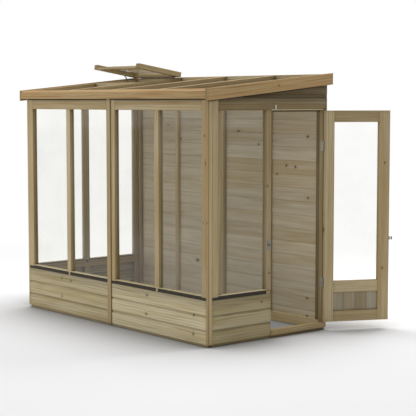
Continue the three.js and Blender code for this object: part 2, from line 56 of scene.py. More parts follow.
def tint(code):  # a colour as it shows on screen, such as "a98c5f"
    parts = [int(code[i:i + 2], 16) / 255 for i in (0, 2, 4)]
    flat = [part / 12.92 if part < 0.04045 else ((part + 0.055) / 1.055) ** 2.4 for part in parts]
    return (*flat, 1.0)


def feed(node, inputs):  # a socket is linked, any other value is set
    for key, value in inputs.items():
        if isinstance(value, bpy.types.NodeSocket):
            value.id_data.links.new(value, node.inputs[key])
        else:
            node.inputs[key].default_value = value


def addNode(tree, kind, inputs=None, **settings):
    node = tree.nodes.new("ShaderNode" + kind)
    for key, value in settings.items():
        setattr(node, key, value)
    feed(node, inputs or {})
    return node


def findNode(tree, kind):
    return next(node for node in tree.nodes if node.type == kind)


def treeOf(*values):  # the node tree that one of these values comes from
    return next(value.id_data for value in values if isinstance(value, bpy.types.NodeSocket))


def calc(how, a, b=0.0):
    return addNode(treeOf(a, b), "Math", {0: a, 1: b}, operation=how).outputs[0]


def plus(a, b):
    return calc("ADD", a, b)


def minus(a, b):
    return calc("SUBTRACT", a, b)


def times(a, b):
    return calc("MULTIPLY", a, b)


def distance(a, b):
    return calc("SQRT", plus(times(a, a), times(b, b)))


def fade(value, start, end, low=0.0, high=1.0):
    ends = {"Value": value, "From Min": start, "From Max": end, "To Min": low, "To Max": high}
    return addNode(value.id_data, "MapRange", ends, interpolation_type="SMOOTHSTEP").outputs[0]


def blendColor(amount, a, b, how="MIX"):
    inputs = {0: amount, 6: a, 7: b}
    return addNode(treeOf(amount, a, b), "Mix", inputs, data_type="RGBA", blend_type=how).outputs[2]


def combine(x, y, z):
    return addNode(x.id_data, "CombineXYZ", {0: x, 1: y, 2: z}).outputs[0]


def split(vector):
    return addNode(vector.id_data, "SeparateXYZ", {0: vector}).outputs


def darken(color, share):
    return blendColor(1.0, color, combine(share, share, share), "MULTIPLY")


def noise(vector, scale=1.0, detail=3.0, rough=0.55):
    inputs = {"Vector": vector, "Scale": scale, "Detail": detail, "Roughness": rough}
    return addNode(vector.id_data, "TexNoise", inputs).outputs[0]


def stored(tree, label, kind="Vector"):  # a value that every point of a mesh carries
    return addNode(tree, "Attribute", attribute_name=label).outputs[kind]


def objectPlace(tree):
    return addNode(tree, "TexCoord").outputs["Object"]


def newGroup(name, inputs, outputs):
    group = bpy.data.node_groups.new(name, "ShaderNodeTree")
    for direction, sockets in (("INPUT", inputs), ("OUTPUT", outputs)):
        for label, kind in sockets:
            group.interface.new_socket(label, in_out=direction, socket_type="NodeSocket" + kind)
    start = group.nodes.new("NodeGroupInput")
    return group, start.outputs, group.nodes.new("NodeGroupOutput")


def newMaterial(name):
    material = bpy.data.materials.new(name)
    material.use_nodes = True
    tree = material.node_tree
    return material, tree, findNode(tree, "BSDF_PRINCIPLED")


# Softwood. The grain value holds a point's place along, across and through its timber

woodColours = ("Pale", "Warm", "Ring", "Knot", "Edge")
woodAmounts = ("Rings", "Knots", "Wear", "Contrast")
spotNames = ("spotA", "spotB", "spotC")


def edgeWearGroup():  # how near a point lies to an arris or an end of its timber
    outputs = [("Edge", "Float"), ("End", "Float")]
    group, given, result = newGroup("timberEdges", [("Wander", "Float")], outputs)
    place = split(stored(group, "grain"))
    half = split(stored(group, "half"))
    gaps = [minus(half[i], calc("ABSOLUTE", place[i])) for i in range(3)]
    side = plus(calc("MAXIMUM", gaps[1], gaps[2]), times(given["Wander"], 0.004))
    end = plus(gaps[0], times(given["Wander"], 0.03))
    feed(result, {"Edge": fade(side, 0.0065, 0.0012), "End": fade(end, 0.03, 0.0)})
    return group


def knotGap(cells, share):  # the distance to a knot that grew by chance, in its own radii
    tree = cells.id_data
    cell = addNode(tree, "TexVoronoi", {"Vector": cells, "Scale": 1.0, "Randomness": 0.9},
                   voronoi_dimensions="2D").outputs
    chance = addNode(tree, "SeparateColor", {0: cell["Color"]}).outputs
    gap = calc("DIVIDE", cell["Distance"], fade(chance[1], 0.0, 1.0, 0.03, 0.075))
    grown = calc("LESS_THAN", chance[0], share)
    return plus(gap, times(minus(1.0, grown), 50.0))  # a bare cell is far from one


def spotGap(place, spot):  # the distance to a given knot, in its own radii
    at = split(spot)
    gap = distance(times(minus(place[0], at[0]), 0.75), minus(place[1], at[1]))  # a little longer than wide
    return calc("DIVIDE", gap, calc("MAXIMUM", at[2], 0.00001))


def softwoodGroup(edges):
    inputs = [(name, "Color") for name in woodColours] + [(name, "Float") for name in woodAmounts]
    outputs = [("Color", "Color"), ("Roughness", "Float"), ("Height", "Float")]
    group, given, result = newGroup("softwood", inputs, outputs)
    place = split(stored(group, "grain"))
    seed = stored(group, "seed", "Fac")
    brightness, warm = split(stored(group, "tone"))[0:2]
    along = plus(place[0], times(seed, 3.7))
    side = plus(plus(place[1], place[2]), times(seed, 1.9))
    layer = times(seed, 5.3)

    def stretched(alongScale, sideScale):
        return combine(times(along, alongScale), times(side, sideScale), layer)

    broad = noise(stretched(1.1, 9.0), detail=2.0)
    plain = noise(stretched(0.7, 26.0), detail=2.0)
    streak = noise(stretched(2.0, 75.0), detail=4.0)
    fine = noise(stretched(9.0, 420.0))
    near = knotGap(stretched(4.2, 8.0), given["Knots"])
    for label in spotNames:
        near = calc("MINIMUM", near, spotGap(place, stored(group, label)))
    near = plus(near, times(minus(fine, 0.5), 0.5))
    core = fade(near, 1.25, 0.7)
    halo = fade(near, 3.6, 1.0)

    wave = plus(times(side, given["Rings"]), times(broad, 3.0))
    wave = plus(wave, times(fade(near, 6.0, 0.5), 1.6))  # the rings bend round a knot
    band = fade(calc("SINE", times(wave, 2 * math.pi)), -0.2, 1.0)
    band = times(band, fade(streak, 0.3, 0.62, 0.25, 1.0))

    warmth = plus(fade(broad, 0.35, 0.65, -0.35, 0.35), warm)
    warmth = plus(warmth, fade(plain, 0.35, 0.65, -0.25, 0.25))
    color = blendColor(addNode(group, "Clamp", {0: warmth}).outputs[0], given["Pale"], given["Warm"])
    dark = plus(fade(streak, 0.46, 0.76, 0.0, 0.5), times(band, 0.42))
    dark = plus(dark, fade(fine, 0.55, 0.8, 0.0, 0.28))
    color = blendColor(times(dark, given["Contrast"]), color, given["Ring"])
    color = blendColor(times(halo, 0.45), color, given["Edge"])
    color = blendColor(core, color, given["Knot"])
    wear = addNode(group, "Group", {"Wander": minus(streak, 0.5)}, node_tree=edges).outputs
    rubbed = times(wear["Edge"], given["Wear"])
    soaked = times(wear["End"], 0.25)
    color = blendColor(calc("MAXIMUM", rubbed, soaked), color, given["Edge"])
    deep = addNode(group, "AmbientOcclusion", {"Distance": 0.05}, samples=8).outputs["AO"]
    color = darken(color, times(brightness, fade(deep, 0.0, 0.85, 0.4, 1.0)))  # painted shade: darker in corners, creases and gaps, where light is shut out
    rough = plus(fade(streak, 0.3, 0.7, 0.62, 0.8), times(core, -0.15))
    height = plus(times(band, 0.5), times(fine, 0.6))
    feed(result, {"Color": color, "Roughness": rough, "Height": minus(height, times(core, 0.8))})
    return group


def makeWood(name, look):
    material, tree, shader = newMaterial(name)
    inputs = {label: tint(look[label.lower()]) for label in woodColours}
    inputs.update({label: look[label.lower()] for label in woodAmounts})
    grain = addNode(tree, "Group", inputs, node_tree=softwood).outputs
    relief = {"Strength": look["relief"], "Distance": 0.0006, "Height": grain["Height"]}
    bump = addNode(tree, "Bump", relief).outputs[0]
    feed(shader, {"Base Color": grain["Color"], "Roughness": grain["Roughness"], "Normal": bump,
                  "Specular IOR Level": 0.25})
    return material


def makeEndGrain(name, look):  # growth rings on a sawn end
    material, tree, shader = newMaterial(name)
    place = split(stored(tree, "grain"))
    seed = stored(tree, "seed", "Fac")
    w = plus(place[1], times(calc("FRACT", times(seed, 7.31)), look["heartAcross"]))
    t = plus(place[2], look["heartUnder"])
    across = combine(w, t, seed)
    turns = plus(times(distance(w, t), look["rings"]), noise(across, 60.0))
    ring = fade(calc("SINE", times(turns, 2 * math.pi)), -0.3, 1.0)
    speck = noise(across, 900.0)
    color = blendColor(ring, tint(look["pale"]), tint(look["dark"]))
    color = blendColor(fade(speck, 0.5, 0.8, 0.0, 0.5), color, tint(look["dark"]))
    feed(shader, {"Base Color": color, "Roughness": fade(speck, 0.2, 0.8, 0.75, 0.95)})
    return material


woodLooks = {
    "frameWood": {"pale": "c2b28e", "warm": "b19a6e", "ring": "8e7b53", "knot": "45351e", "edge": "977b4f",
                  "rings": 60.0, "knots": 0.02, "wear": 0.4, "contrast": 0.8, "relief": 0.5},
    "boardWood": {"pale": "d0c4a2", "warm": "bead81", "ring": "a08e64", "knot": "4b391c", "edge": "938357",
                  "rings": 45.0, "knots": 0.07, "wear": 0.25, "contrast": 1.0, "relief": 0.6},
    "backWood": {"pale": "d4c9af", "warm": "c5b28d", "ring": "a38f6b", "knot": "584530", "edge": "91815b",
                 "rings": 14.0, "knots": 0.02, "wear": 0.2, "contrast": 0.5, "relief": 0.4},
    "fasciaWood": {"pale": "baa174", "warm": "b08b5c", "ring": "8f6e43", "knot": "4d351c", "edge": "94754b",
                   "rings": 50.0, "knots": 0.0, "wear": 0.3, "contrast": 0.95, "relief": 0.5},
    "trimWood": {"pale": "c5b48d", "warm": "b79e72", "ring": "9a8452", "knot": "48361b", "edge": "9a7b4c",
                 "rings": 60.0, "knots": 0.015, "wear": 0.35, "contrast": 0.8, "relief": 0.5},
    "sillWood": {"pale": "d6caa8", "warm": "cbbc92", "ring": "ad9d72", "knot": "564423", "edge": "bdad83",
                 "rings": 60.0, "knots": 0.03, "wear": 0.2, "contrast": 0.5, "relief": 0.4},
}
endLook = {"pale": "a08b5f", "dark": "6f5a35", "rings": 260.0, "heartAcross": 0.05, "heartUnder": 0.04}
softwood = softwoodGroup(edgeWearGroup())
woods = {name: makeWood(name, look) for name, look in woodLooks.items()}
endGrain = makeEndGrain("endGrain", endLook)


# Metal, seal and glazing

def makeMetal(name, look):  # zinc plate with cloudy crystals
    material, tree, shader = newMaterial(name)
    place = objectPlace(tree)
    crystal = addNode(tree, "TexVoronoi", {"Vector": place, "Scale": look["crystals"]}).outputs["Color"]
    grey = addNode(tree, "SeparateColor", {0: crystal}).outputs[0]
    cloud = noise(place, 90.0)
    worn = plus(times(grey, 0.5), times(cloud, 0.5))
    bump = addNode(tree, "Bump", {"Strength": 0.2, "Distance": 0.0002, "Height": cloud}).outputs[0]
    feed(shader, {"Base Color": blendColor(worn, tint(look["dark"]), tint(look["light"])), "Normal": bump,
                  "Roughness": fade(worn, 0.2, 0.8, look["smooth"], look["dull"]), "Metallic": 1.0})
    return material


def makeShadowStripFinish(name, look):  # a dark finish with some dust on it, for strips that paint shadow
    material, tree, shader = newMaterial(name)
    dust = noise(objectPlace(tree), 35.0, 4.0)
    color = blendColor(fade(dust, 0.45, 0.8), tint(look["base"]), tint(look["dust"]))
    feed(shader, {"Base Color": color, "Roughness": fade(dust, 0.3, 0.7, 0.65, 0.85),
                  "Specular IOR Level": 0.15})
    return material


def makeGlass(name, look):  # clear sheet: see-through, with a reflection that grows at a slant
    material, tree, shader = newMaterial(name)
    tree.nodes.remove(shader)
    smear = noise(objectPlace(tree), 3.0, 5.0, 0.65)
    film = blendColor(fade(smear, 0.4, 0.75), tint(look["clear"]), tint(look["filmed"]))
    seen = addNode(tree, "LightPath").outputs["Is Camera Ray"]
    film = blendColor(seen, tint(look["shade"]), film)  # it keeps some light out
    through = addNode(tree, "BsdfTransparent", {"Color": film}).outputs[0]
    rough = fade(smear, 0.3, 0.8, 0.02, 0.09)
    shine = addNode(tree, "BsdfAnisotropic", {"Color": tint("ffffff"), "Roughness": rough}).outputs[0]
    slant = addNode(tree, "Fresnel", {"IOR": look["ior"]}).outputs[0]
    front = minus(1.0, addNode(tree, "NewGeometry").outputs["Backfacing"])
    slant = times(slant, front)  # the far face adds no second image
    mixed = addNode(tree, "MixShader", {0: slant, 1: through, 2: shine}).outputs[0]
    feed(findNode(tree, "OUTPUT_MATERIAL"), {"Surface": mixed})
    return material


metalLooks = {
    "brightZinc": {"light": "dbdad4", "dark": "a3a29c", "crystals": 160.0, "smooth": 0.28, "dull": 0.5},
    "dullZinc": {"light": "b0ab9b", "dark": "857f70", "crystals": 150.0, "smooth": 0.45, "dull": 0.65},
    "greyZinc": {"light": "97948b", "dark": "6c695f", "crystals": 150.0, "smooth": 0.45, "dull": 0.65},
    "darkZinc": {"light": "3c3e40", "dark": "242628", "crystals": 140.0, "smooth": 0.5, "dull": 0.7},
    "nailSteel": {"light": "6d665c", "dark": "3d372e", "crystals": 400.0, "smooth": 0.45, "dull": 0.7},
}
metals = {name: makeMetal(name, look) for name, look in metalLooks.items()}
shadowStripRubber = makeShadowStripFinish("shadowStripRubber", {"base": "3d3831", "dust": "4c463d"})
clearGlass = makeGlass("clearGlass", {"clear": "fefefd", "filmed": "fcfcfb", "shade": "e8e8e8", "ior": 1.45})
dustyGlass = makeGlass("dustyGlass", {"clear": "dad3c3", "filmed": "c2b89f", "shade": "d8d4c8", "ior": 1.45})
finishes = {name: [wood, endGrain] for name, wood in woods.items()}
finishes["shadow_strip"] = [shadowStripRubber]
finishes["nails"] = [metals["nailSteel"]]
finishes["screws"] = [metals["brightZinc"], metals["nailSteel"]]
print("materials made:", len(bpy.data.materials))


# Solids

axisNumber = {"x": 0, "y": 1, "z": 2}
pointLabels = ("grain", "half", "tone", *spotNames, "seed")


def newPart():
    return {label: [] for label in ("points", "faces", "slots", *pointLabels)}


# A tone is a length of timber's brightness and warmth; a spot is a knot: along, across, radius
def addSolid(part, work, long, seed, soft=0.0, place=None, slots=(0, 1), tone=None, spots=(), shade=None):
    if soft:
        bmesh.ops.bevel(work, geom=list(work.edges), offset=soft, segments=2, profile=0.6, affect="EDGES")
    work.normal_update()
    low = [min(v.co[i] for v in work.verts) for i in range(3)]
    high = [max(v.co[i] for v in work.verts) for i in range(3)]
    middle = [(a + b) / 2 for a, b in zip(low, high)]
    half = [(b - a) / 2 for a, b in zip(low, high)]
    n = axisNumber[long]
    order = [n, *sorted((i for i in range(3) if i != n), key=lambda i: -half[i])]
    luck = random.Random(seed)
    own = tone or (luck.uniform(0.93, 1.07), luck.uniform(0.2, 0.8))
    values = {label: (0.0, 0.0, 0.0) for label in spotNames}
    values.update(half=[half[k] for k in order], seed=seed)
    for label, spot in zip(spotNames, spots):
        values[label] = (spot[0] - middle[order[0]], spot[1] - middle[order[1]], spot[2])
    first = len(part["points"])
    for i, vert in enumerate(work.verts):
        vert.index = i
        point = Vector(vert.co)
        part["points"].append(place(point) if place else point)
        part["grain"].append([point[k] - middle[k] for k in order])
        part["tone"].append((own[0] * (shade(point) if shade else 1.0), own[1], 0.0))
        for label, value in values.items():
            part[label].append(value)
    for face in work.faces:
        part["faces"].append([first + vert.index for vert in face.verts])
        part["slots"].append(slots[abs(face.normal[n]) > 0.8])  # the second is for sawn ends
    work.free()


def joinRings(work, lower, upper):
    for i in range(len(lower)):
        j = (i + 1) % len(lower)
        work.faces.new((lower[i], lower[j], upper[j], upper[i]))


def prism(outline, axis, span):  # an outline in the two other axes, pushed along this one
    work = bmesh.new()
    n = axisNumber[axis]
    rings = [[work.verts.new((*point[:n], at, *point[n:])) for point in outline] for at in span]
    work.faces.new(rings[0])
    work.faces.new(rings[1])
    joinRings(work, *rings)
    bmesh.ops.recalc_face_normals(work, faces=work.faces)
    return work


def addBox(part, low, high, long, seed, soft=0.0015, place=None, **more):
    outline = [(low[1], low[2]), (high[1], low[2]), (high[1], high[2]), (low[1], high[2])]
    addSolid(part, prism(outline, "x", (low[0], high[0])), long, seed, soft, place, **more)


def turnTo(normal):
    return Vector((0, 0, 1)).rotation_difference(Vector(normal)).to_matrix()


def addDisc(part, middle, normal, radius, tall, place=None):  # a nail or screw head, slightly domed
    work = bmesh.new()
    corners = 12
    angles = [2 * math.pi * i / corners for i in range(corners)]
    rings = []
    for share, height in ((1.0, -tall), (1.0, tall * 0.4), (0.72, tall * 0.9)):
        rim = [Vector((radius * share * math.cos(a), radius * share * math.sin(a), height)) for a in angles]
        rings.append([work.verts.new(Vector(middle) + turnTo(normal) @ point) for point in rim])
    for lower, upper in zip(rings, rings[1:]):
        joinRings(work, lower, upper)
    work.faces.new(rings[0])
    work.faces.new(rings[-1])
    bmesh.ops.recalc_face_normals(work, faces=work.faces)
    addSolid(part, work, "x", 0.0, place=place, slots=(0, 0))


def finishPart(part, name, finish, stands=(), body="greenhouse", slot="timber"):
    mesh = bpy.data.meshes.new(name)
    mesh.from_pydata([tuple(point) for point in part["points"]], [], part["faces"])
    for label in pointLabels:
        kind, field = ("FLOAT", "value") if label == "seed" else ("FLOAT_VECTOR", "vector")
        attribute = mesh.attributes.new(label, kind, "POINT")
        for i, value in enumerate(part[label]):
            setattr(attribute.data[i], field, value)
    for material in finishes[finish]:
        mesh.materials.append(material)
    for polygon, index in zip(mesh.polygons, part["slots"]):
        polygon.material_index = min(index, len(mesh.materials) - 1)
    mesh.validate()
    work = bmesh.new()
    work.from_mesh(mesh)
    bmesh.ops.recalc_face_normals(work, faces=work.faces)
    work.to_mesh(mesh)
    work.free()
    piece = bpy.data.objects.new(name, mesh)
    bpy.context.scene.collection.objects.link(piece)
    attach(piece, body)
    if stands:
        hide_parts(*stands)


def seedOf(name):  # the same number for the same name in each run
    return random.Random(name).uniform(1.0, 30.0)


woodTones = {
    "front": {"left_wall_plate": (0.95, 0.5), "right_wall_plate": (0.95, 0.5), "joint_strip": (0.82, 0.5)},
    "left_corner_post": {"front": (0.98, 0.4), "side": (1.0, 0.4)},
    "right_corner_post": {"front": (0.9, 1.5), "side": (1.02, 0.0)},
    "left_end": dict.fromkeys(  # painted shade: darker and greyer inside, away from the light
        ("foot", "mullion", "sill", "stile_1", "stile_3", "top_rail", "wall_plate"), (0.9, -0.7)),
    # The right end's head, wall plate, laths and two stops are set dark: painted shade under the roof and in
    # the doorway
    "right_end": {
        "stile": (0.93, -0.1), "bead": (0.9, 0.8), "middle_post": (0.84, 0.6), "hinge_post": (0.8, 1.0),
        "head": (0.62, 0.8), "wall_plate": (0.66, 0.5), "window_lath": (0.62, 0.8), "hinge_lath": (0.7, 0.7),
        "head_stop": (0.3, 0.5), "latch_stop": (0.5, 0.6),
    },
    "back_left": {"sole": (1.0, 0.2), "stud_2": (1.35, 0.0), "stud_3": (0.9, 0.2)},
    # The stud in the far corner is set dark: painted shade
    "back_right": {"sole": (1.55, 0.1), "stud_3": (0.46, 0.9)},
    "roof": {
        "bar_left": (0.76, 0.9), "bar_middle": (0.74, 0.9), "bar_right": (0.76, 1.0), "back": (0.95, -0.2),
        "edge_bar_left": (0.74, 0.8), "edge_bar_right": (0.74, 0.8), "right_fascia": (1.06, 0.3),
    },
    "door": {
        "hinge_stile": (1.12, 0.0), "free_stile": (1.0, 0.55), "middle_rail": (1.08, 0.1),
        "top_rail": (0.94, 0.6), "bottom_rail": (1.0, 0.3),
    },
}
tones = {f"{place}_{name}": tone for place, named in woodTones.items() for name, tone in named.items()}
spots = {
    "front_left_boards_1": [(-0.690, 0.151, 0.0055)],
    "front_left_boards_2": [(-0.688, 0.302, 0.0055)],
    "front_right_boards_0": [(1.036, 0.080, 0.006)],
    "front_right_boards_1": [(0.470, 0.155, 0.0065), (1.040, 0.220, 0.006)],
    "front_right_boards_2": [(0.480, 0.300, 0.0065)],
    "front_right_stile_3": [(1.517, 1.165, 0.005), (0.9, 1.15, 0.004)],
    "right_end_boards_2": [(-0.640, 0.287, 0.005)],
    "right_end_middle_post": [(1.522, -0.612, 0.004), (1.139, -0.585, 0.005), (0.492, -0.567, 0.005)],
    "right_end_stile": [(0.671, -1.043, 0.005)],
    "right_corner_post_side": [(1.685, -1.109, 0.006), (1.353, -1.108, 0.006), (0.547, -1.108, 0.0065)],
    "right_corner_post_front": [(0.9, 1.19, 0.004)],
    "back_right_boards_0": [(1.013, 0.081, 0.0065)],
    "back_right_boards_1": [(1.011, 0.223, 0.0065)],
    "back_right_boards_9": [(1.015, 1.010, 0.0065)],
    "back_right_boards_10": [(0.660, 1.184, 0.006)],
    "back_right_boards_11": [(0.768, 1.255, 0.007), (0.872, 1.246, 0.007)],
    "back_right_boards_13": [(1.008, 1.487, 0.007), (0.440, 1.413, 0.006)],
    "roof_right_fascia": [(-0.517, -0.042, 0.005), (0.2, -0.03, 0.005)],
    "roof_left_fascia": [(-0.3, -0.05, 0.006)],
}
arris = {"lath": 0.0008, "joint": 0.001, "plain": 0.0018, "round": 0.002, "fascia": 0.0025}


def timber(name, stands, low, high, long, wood="frameWood", soft="plain", place=None, shade=None, **more):
    part = newPart()
    title = name.removesuffix("_timber")
    addBox(part, low, high, long, seedOf(name), arris[soft], place, tone=tones.get(title),
           spots=spots.get(title, ()), shade=shade)
    finishPart(part, name, wood, stands, **more)


# Walls: a run goes along the wall, a depth inwards from its outer face

wall = {"boardThick": 0.012, "depth": 0.040, "rebate": 0.008, "slotDeep": 0.024, "shadowStripDeep": 0.003}
lowWall = {"sillThick": 0.013, "sillSeen": 0.006, "stopTall": 0.038, "railTall": 0.045, "footWide": 0.020,
           "headTall": 0.045, "plateDark": 0.55}
frontLow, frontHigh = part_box("front_left_frame")
rightLow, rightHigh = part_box("right_end_frame")
leftLow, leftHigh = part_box("left_end_frame")
backLow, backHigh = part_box("back_left_frame")
boardsLow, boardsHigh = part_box("front_left_boards")
glassLow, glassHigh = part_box("front_left_pane_outer")
plate = frontHigh.z
boardsTop = boardsHigh.z
sillTop = glassLow.z + wall["rebate"]
headLow = glassHigh.z - wall["rebate"]
headTop = headLow + lowWall["headTall"]
slotTop = sillTop - lowWall["sillThick"]
shadowStripTop = sillTop - lowWall["sillSeen"]
full = (0, wall["depth"])
behind = (wall["boardThick"], wall["depth"])
sides = {
    "front": {"along": "x", "inward": 1, "face": frontLow.y},
    "back": {"along": "x", "inward": -1, "face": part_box("back_left_boards")[1].y},
    "left": {"along": "y", "inward": 1, "face": leftLow.x},
    "right": {"along": "y", "inward": -1, "face": rightHigh.x},
}


def middleOf(pair):
    return (pair[0] + pair[1]) / 2


def faceAt(side, depth):
    return sides[side]["face"] + sides[side]["inward"] * depth


def wallSpan(side, run, depth, height):
    d = sorted(faceAt(side, at) for at in depth)
    across = (run, d) if sides[side]["along"] == "x" else (d, run)
    return list(zip(*across, height))


def wallTimber(name, stands, side, run, depth, height, long, *wood, **more):
    timber(name, stands, *wallSpan(side, run, depth, height), long, *wood, **more)


def opening(node):  # the glass between its timbers, from the pane that sits in their grooves
    low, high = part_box(node)
    n = 0 if high.x - low.x > high.y - low.y else 1
    return (low[n] + wall["rebate"], high[n] - wall["rebate"])


def plateShade(point):  # painted shade: darker up under the roof, in the fascia's shadow
    return 1.0 - lowWall["plateDark"] * (point.z - headTop) / (plate - headTop)


def glazedWall(name, side, run, openings):
    along = sides[side]["along"]
    edges = [run[0]] + [at for pair in openings for at in pair] + [run[1]]
    uprights = list(zip(edges[::2], edges[1::2]))
    inner = (uprights[0][1], uprights[-1][0])

    def piece(title, *shape, **more):
        wallTimber(f"{name}_{title}", (f"{name}_frame",), side, *shape, **more)

    for i, upright in enumerate(uprights):
        if upright in (uprights[0], uprights[-1]):
            piece(f"stile_{i + 1}", upright, full, (slotTop, plate), "z")
        else:
            piece("mullion", upright, full, (sillTop, headLow), "z")
    piece("top_rail", inner, full, (headLow, headTop), along, soft="joint")
    piece("wall_plate", inner, full, (headTop, plate), along, soft="joint", shade=plateShade)
    piece("sill", inner, full, (shadowStripTop, sillTop), along, "sillWood", soft="joint")
    lowFrame(name, side, run, uprights)
    sillShadowStrip(name, side, run)
    middle = middleOf(uprights[1])
    foot = (middle - lowWall["footWide"] / 2, middle + lowWall["footWide"] / 2)
    piece("foot", foot, full, (boardsTop, shadowStripTop), "z", soft="lath")


# painted shadow: a dark strip in the slot under the sill, which is only shade
def sillShadowStrip(name, side, run):
    part = newPart()
    box = wallSpan(side, run, (wall["shadowStripDeep"], wall["slotDeep"]), (boardsTop, shadowStripTop))
    addBox(part, *box, sides[side]["along"], 0.0, arris["joint"])
    finishPart(part, f"{name}_seal", "shadow_strip", (f"{name}_frame",))


def lowFrame(name, side, run, uprights):  # what stands behind the boards, seen from inside
    part = newPart()
    top = boardsTop - lowWall["stopTall"]
    for i, upright in enumerate(uprights):
        box = wallSpan(side, upright, behind, (lowWall["railTall"], top))
        addBox(part, *box, "z", seedOf(f"{name}{i}"))
    rails = [
        (behind, (0, lowWall["railTall"])),
        (behind, (top, boardsTop)),
        ((wall["slotDeep"], wall["depth"]), (boardsTop, slotTop)),
    ]
    for i, (depth, height) in enumerate(rails):
        box = wallSpan(side, run, depth, height)
        addBox(part, *box, sides[side]["along"], seedOf(f"{name}rail{i}"))
    finishPart(part, f"{name}_low_frame", "frameWood", (f"{name}_frame",))


# Shiplap: a scooped top edge goes under the next board's square foot

shiplap = {"cove": 0.019, "lip": 0.005, "slant": 0.005, "round": 0.0022, "inside": 0.0012, "pitch": 0.1063,
           "lapShadeDepth": 0.42}
nail = {"radius": 0.0022, "tall": 0.0005, "up": 0.067, "fromEnd": 0.03, "fromRear": 0.04,
        "strayAlong": 0.004, "strayUp": 0.005}
boardTones = {
    "front_left": [(0.92, 0.55), (0.95, 0.5), (0.97, 0.6)],
    "front_right": [(1.04, 0.25), (1.06, 0.3), (1.10, 0.2)],
    # painted shade: the left end's boards are darker and greyer, away from the light
    "left_end": [(0.86, -0.8)] * 3,
    "right_end": [(0.88, 0.8), (0.87, 0.35), (0.9, 0.7)],
    "back_left": [],
    "back_right": [],
}
backTone = {"boards": 18, "foot": 1.12, "drop": 0.28, "over": 16}
luck = random.Random(7)
for k in range(backTone["boards"]):  # painted shade: paler towards the foot, darker up under the roof
    pale = backTone["foot"] - backTone["drop"] * (k / backTone["over"]) ** 2
    boardTones["back_left"].append((pale * luck.uniform(1.0, 1.1), luck.uniform(-0.3, 0.35)))
    boardTones["back_right"].append((pale * luck.uniform(0.94, 1.05), luck.uniform(-0.1, 0.9)))


def boardOutline(side, low, high, last):
    thick = wall["boardThick"]
    r, s = shiplap["round"], shiplap["inside"]
    points = [(thick - s, low), (r, low), (r * 0.3, low + r * 0.3), (0.0, low + r)]
    if last:
        points += [(0.0, high - r), (r, high)]
    else:
        start = high - shiplap["cove"]
        for i in range(6):
            angle = math.pi / 2 * i / 5
            depth = shiplap["lip"] * (1 - math.cos(angle))
            points.append((depth, start + shiplap["slant"] * math.sin(angle)))
        points.append((shiplap["lip"], high))
    points += [(thick - s, high), (thick, high - s), (thick, low + s)]
    return [(faceAt(side, d), z) for d, z in points]


def lapShade(top):  # painted shade: darker under the next board or the sill
    return lambda point: 1.0 - shiplap["lapShadeDepth"] * max(0.0, 1.0 - (top - point.z) / shiplap["cove"])


def boards(panel, side, run, top, wood, columns):  # and the nails that hold them
    name = f"{panel}_boards"
    part, heads = newPart(), newPart()
    along, inward = sides[side]["along"], sides[side]["inward"]
    normal = (0, -inward, 0) if along == "x" else (-inward, 0, 0)
    luck = random.Random(name)
    low = boardsLow.z
    k = 0
    while low < top - shiplap["cove"]:
        high = min(low + shiplap["pitch"], top)
        last = high > top - 1e-6  # but for rounding
        z = min(low + nail["up"], (low + high) / 2)
        title = f"{name}_{k}"
        addSolid(part, prism(boardOutline(side, low, high, last), along, run), along, seedOf(title),
                 tone=boardTones[panel][k], spots=spots.get(title, ()),
                 shade=None if side == "back" else lapShade(high))
        for at in columns:
            x = at + luck.uniform(-nail["strayAlong"], nail["strayAlong"])
            up = z + luck.uniform(-nail["strayUp"], nail["strayUp"])
            addDisc(heads, wallSpan(side, (x, x), (0, 0), (up, up))[0], normal, nail["radius"], nail["tall"])
        low = high
        k += 1
    finishPart(part, name + "_cladding", wood, (name,), slot="boarding")
    finishPart(heads, name + "_nails", "nails", slot="dark_zinc")


# Front and left end

panels = {
    "front_left": ("front", (frontLow.x, 0.0), ("outer", "inner"), nail["fromEnd"]),
    "front_right": ("front", (0.0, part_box("front_right_frame")[1].x), ("outer", "inner"), nail["fromEnd"]),
    "left_end": ("left", (leftLow.y, leftHigh.y), ("front", "rear"), nail["fromRear"]),
}
for panel, (side, run, places, inset) in panels.items():
    panes = [opening(f"{panel}_pane_{place}") for place in places]
    glazedWall(panel, side, run, panes)
    columns = [run[0] + nail["fromEnd"], middleOf((panes[0][1], panes[1][0])), run[1] - inset]
    boards(panel, side, run, boardsTop, "boardWood", columns)

cornerFront = 0.010
for corner in ("left_corner_post", "right_corner_post"):
    low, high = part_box(corner)
    seam = low.y + cornerFront
    timber(corner + "_front", (corner,), low, (high.x, seam, high.z), "z", "trimWood", slot="trim")
    timber(corner + "_side", (corner,), (low.x, seam, low.z), high, "z", "trimWood", slot="trim")
timber("front_joint_strip", ("front_joint_cover",), *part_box("front_joint_cover"), "z", "trimWood", "round",
       slot="trim")
print("front and left walls built")


# Right end: a window, then the doorway

doorway = {"stop": 0.012, "stopDeep": (0.0363, 0.050), "latchIn": 0.004, "footWide": 0.036, "bead": 0.036,
           "beadBack": 0.010, "lath": 0.007, "hingeWide": 0.040}
sillLow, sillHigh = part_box("door_threshold")
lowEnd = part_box("right_end_boards")[1].y
rightPane = opening("right_end_pane")
hingeFrom = rightHigh.y - doorway["hingeWide"]


